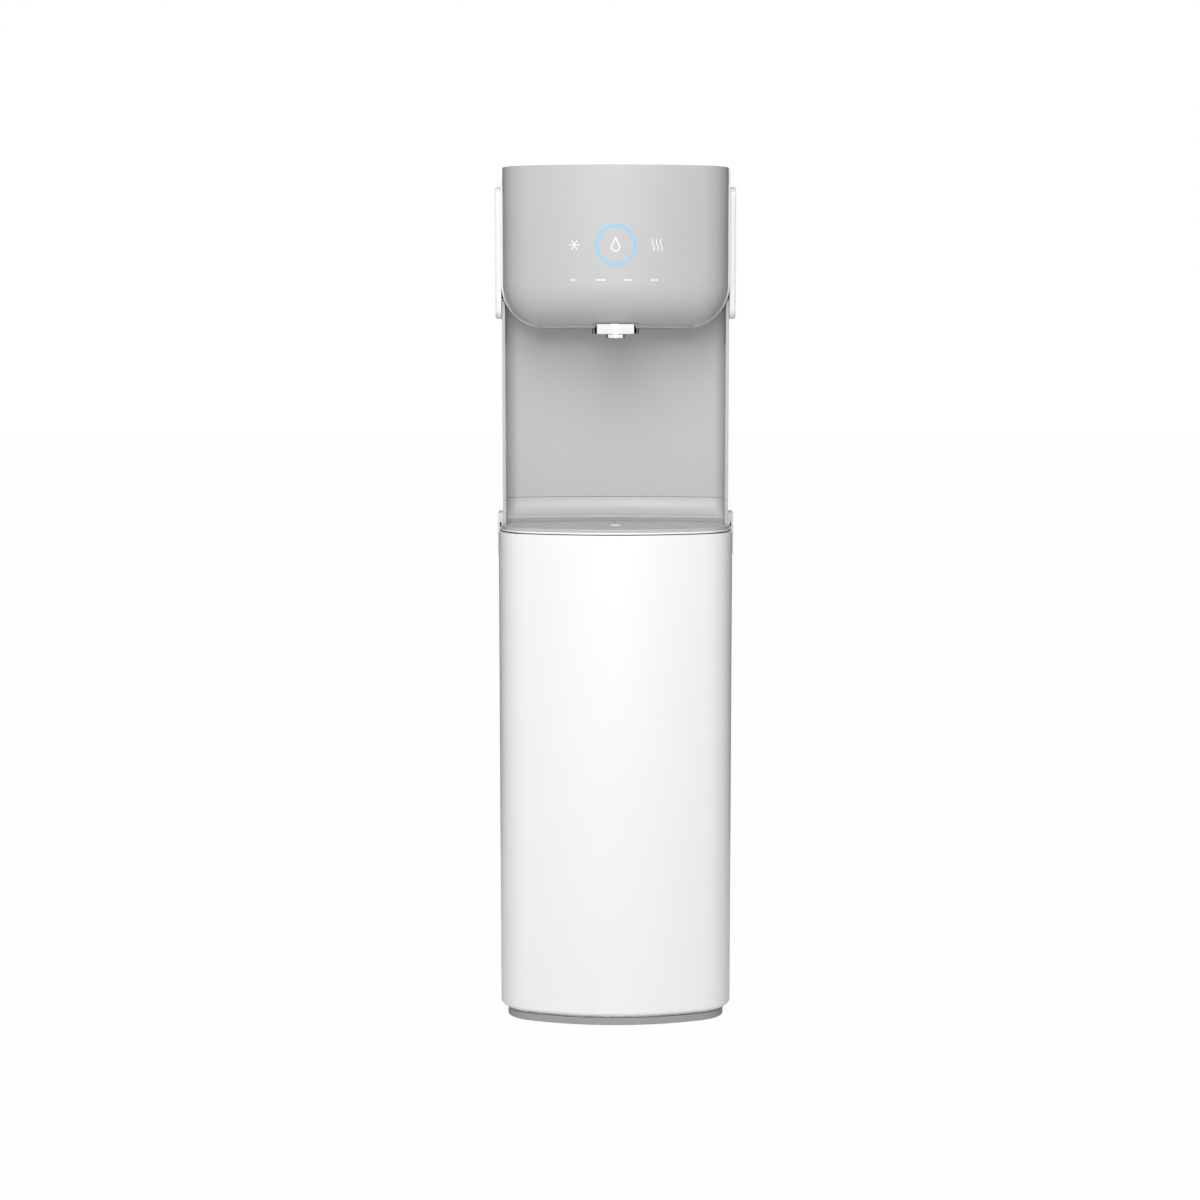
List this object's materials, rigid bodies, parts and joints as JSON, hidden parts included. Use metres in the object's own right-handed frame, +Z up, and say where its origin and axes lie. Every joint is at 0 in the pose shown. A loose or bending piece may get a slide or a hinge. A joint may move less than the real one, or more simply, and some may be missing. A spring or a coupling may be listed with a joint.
{
  "type": "water dispenser",
  "caption": "Slim floor-standing water dispenser: rounded head with nozzle and touch icons over an open alcove with a drip tray, on a tall cabinet.",
  "frame": {"origin": "on the floor, under the centre of the bounding box", "axes": "+Z up, front faces -Y, +X to the right seen from the front"},
  "size_m": [0.301, 0.38, 1.065],
  "materials": {
    "white_enamel": "satin",
    "white_plastic": "gloss",
    "grey_plastic": "satin",
    "cover_plastic": "satin",
    "plinth_plastic": "matte",
    "galvanised": "satin",
    "stainless": "brushed",
    "chrome": "polished",
    "black_plastic": "matte",
    "black_enamel": "satin",
    "rubber": "matte",
    "ring_light": "satin",
    "icon_light": "satin",
    "board_green": "satin",
    "copper": "satin",
    "clear_tube": "gloss",
    "valve_blue": "satin",
    "filter_plastic": "gloss",
    "rocker_red": "gloss",
    "rocker_blue": "gloss",
    "foam": "matte"
  },
  "bodies": {
    "frame": {"base_pan": "galvanised", "plinth_skirt": "plinth_plastic", "side_panel_left": "white_enamel", "side_panel_right": "white_enamel", "rear_panel": "white_enamel", "front_posts": "galvanised", "top_deck": "white_plastic", "hinge_pins": "stainless", "door_catch": "black_plastic", "filter_manifold": "black_plastic", "booster_pump": "black_enamel", "inlet_valve": "valve_blue", "compressor": "black_enamel", "compressor_mounts": "rubber", "condenser_tube": "black_enamel", "condenser_wires": "black_enamel", "filter_drier": "copper", "inlet_fitting": "white_plastic", "drain_stub": "white_plastic", "power_inlet": "black_plastic", "upper_side_left": "white_plastic", "upper_side_right": "white_plastic", "upper_rear": "white_plastic", "top_lid": "grey_plastic", "head_housing": "white_plastic", "head_cover": "grey_plastic", "underside_plate": "grey_plastic", "alcove_panel": "grey_plastic", "cove": "grey_plastic", "tray_base": "grey_plastic", "nozzle_flange": "chrome", "nozzle_spout": "chrome", "light_ring": "ring_light", "touch_icons": "icon_light", "label_marks": "icon_light", "control_board": "board_green", "side_cover_left": "cover_plastic", "side_cover_right": "cover_plastic", "latch_mounts": "stainless", "cold_tank": "foam", "hot_tank": "stainless", "tank_pipes": "clear_tube", "switch_frames": "black_plastic"},
    "door": {"door_shell": "white_plastic", "door_fittings": "galvanised"},
    "filter_left": {"filter_1": "filter_plastic"},
    "filter_middle": {"filter_2": "filter_plastic"},
    "filter_right": {"filter_3": "filter_plastic"},
    "foot_a": {"foot_1": "rubber"},
    "foot_b": {"foot_2": "rubber"},
    "foot_c": {"foot_3": "rubber"},
    "foot_d": {"foot_4": "rubber"},
    "tray": {"drip_tray": "grey_plastic"},
    "grille": {"drip_grille": "grey_plastic"},
    "float": {"tray_float": "cover_plastic"},
    "left_latch": {"latch_left": "cover_plastic"},
    "right_latch": {"latch_right": "cover_plastic"},
    "hot_rocker": {"switch_rocker_hot": "rocker_red"},
    "cold_rocker": {"switch_rocker_cold": "rocker_blue"},
    "cap": {"drain_cap": "black_plastic"}
  },
  "joints": [
    {"name": "door_hinge", "type": "hinge", "parent": "frame", "child": "door", "pos_m": [-0.133, -0.13043, 0.3], "axis": [0, 0, -1], "range_deg": [0, 90]},
    {"name": "filter_left_turn", "type": "hinge", "parent": "frame", "child": "filter_left", "pos_m": [-0.078, -0.116, 0.54], "axis": [0, 0, 1], "range_deg": [0, 90]},
    {"name": "filter_middle_turn", "type": "hinge", "parent": "frame", "child": "filter_middle", "pos_m": [0, -0.116, 0.54], "axis": [0, 0, 1], "range_deg": [0, 90]},
    {"name": "filter_right_turn", "type": "hinge", "parent": "frame", "child": "filter_right", "pos_m": [0.078, -0.116, 0.54], "axis": [0, 0, 1], "range_deg": [0, 90]},
    {"name": "foot_a_turn", "type": "hinge", "parent": "frame", "child": "foot_a", "pos_m": [-0.104, -0.115, 0.01], "axis": [0, 0, 1], "continuous": true},
    {"name": "foot_b_turn", "type": "hinge", "parent": "frame", "child": "foot_b", "pos_m": [0.104, -0.115, 0.01], "axis": [0, 0, 1], "continuous": true},
    {"name": "foot_c_turn", "type": "hinge", "parent": "frame", "child": "foot_c", "pos_m": [-0.104, 0.13, 0.01], "axis": [0, 0, 1], "continuous": true},
    {"name": "foot_d_turn", "type": "hinge", "parent": "frame", "child": "foot_d", "pos_m": [0.104, 0.13, 0.01], "axis": [0, 0, 1], "continuous": true},
    {"name": "tray_lift", "type": "slide", "parent": "frame", "child": "tray", "axis": [0, 0, 1], "range_m": [0, 0.06]},
    {"name": "grille_lift", "type": "slide", "parent": "tray", "child": "grille", "axis": [0, 0, 1], "range_m": [0, 0.05]},
    {"name": "float_rise", "type": "slide", "parent": "tray", "child": "float", "axis": [0, 0, 1], "range_m": [0, 0.006]},
    {"name": "left_latch_turn", "type": "hinge", "parent": "frame", "child": "left_latch", "pos_m": [-0.149, -0.03, 0.5847], "axis": [0, -1, 0], "range_deg": [0, 95]},
    {"name": "right_latch_turn", "type": "hinge", "parent": "frame", "child": "right_latch", "pos_m": [0.149, -0.03, 0.5847], "axis": [0, 1, 0], "range_deg": [0, 95]},
    {"name": "hot_switch", "type": "hinge", "parent": "frame", "child": "hot_rocker", "pos_m": [-0.034, 0.1636, 0.712], "axis": [-1, 0, 0], "range_deg": [0, 16]},
    {"name": "cold_switch", "type": "hinge", "parent": "frame", "child": "cold_rocker", "pos_m": [0.034, 0.1636, 0.712], "axis": [-1, 0, 0], "range_deg": [0, 16]},
    {"name": "drain_cap_turn", "type": "hinge", "parent": "frame", "child": "cap", "pos_m": [0.06, 0.172, 0.078], "axis": [0, 1, 0], "continuous": true}
  ]
}
